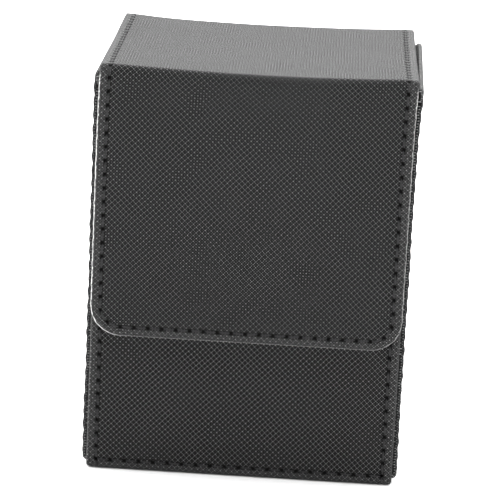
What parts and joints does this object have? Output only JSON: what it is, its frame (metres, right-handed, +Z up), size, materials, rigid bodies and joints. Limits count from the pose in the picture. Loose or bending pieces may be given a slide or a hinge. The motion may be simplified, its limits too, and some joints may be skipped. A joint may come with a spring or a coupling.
{
  "type": "card deck box",
  "caption": "Upright flip-top box for a deck of sleeved cards, in leather-covered board, with a hinged lid and a folding front flap held shut by hidden magnets.",
  "frame": {"origin": "middle of the closed box's base, on the surface that it stands on", "axes": "+X to the right as seen from the front, +Y from front to back, +Z up"},
  "size_m": [0.0784, 0.072, 0.103],
  "materials": {
    "leather": "matte black synthetic leather with a fine diagonal woven grain",
    "board": "grey stiffening board",
    "lining": "black brushed microfibre",
    "thread": "black sewing thread",
    "magnet": "nickel-plated disc"
  },
  "bodies": {
    "box": {"body_wrap": "leather", "left_side_panel": "leather", "right_side_panel": "leather", "front_board": "board", "base_board": "board", "back_board": "board", "left_side_board": "board", "right_side_board": "board", "front_lining": "lining", "base_lining": "lining", "back_lining": "lining", "left_side_lining": "lining", "right_side_lining": "lining", "left_seam_thread": "thread", "right_seam_thread": "thread", "hem_thread": "thread", "front_magnet_left": "magnet", "front_magnet_right": "magnet"},
    "lid": {"lid_cover": "leather", "lid_board": "board", "lid_lining": "lining", "lid_thread_left": "thread", "lid_thread_right": "thread", "back_hinge_leather": "leather", "back_hinge_lining": "lining"},
    "flap": {"flap_cover": "leather", "flap_board": "board", "flap_lining": "lining", "flap_thread": "thread", "flap_magnet_left": "magnet", "flap_magnet_right": "magnet", "front_fold_leather": "leather", "front_fold_lining": "lining"}
  },
  "joints": [
    {"name": "lid_hinge", "type": "hinge", "parent": "box", "child": "lid", "pos_m": [0, 0.0351, 0.1021], "axis": [-1, 0, 0], "range_deg": [0, 225], "deforming": ["back_hinge_leather", "back_hinge_lining"]},
    {"name": "flap_fold", "type": "hinge", "parent": "lid", "child": "flap", "pos_m": [0, -0.0343, 0.1013], "axis": [-1, 0, 0], "range_deg": [0, 90], "deforming": ["front_fold_leather", "front_fold_lining"]}
  ]
}
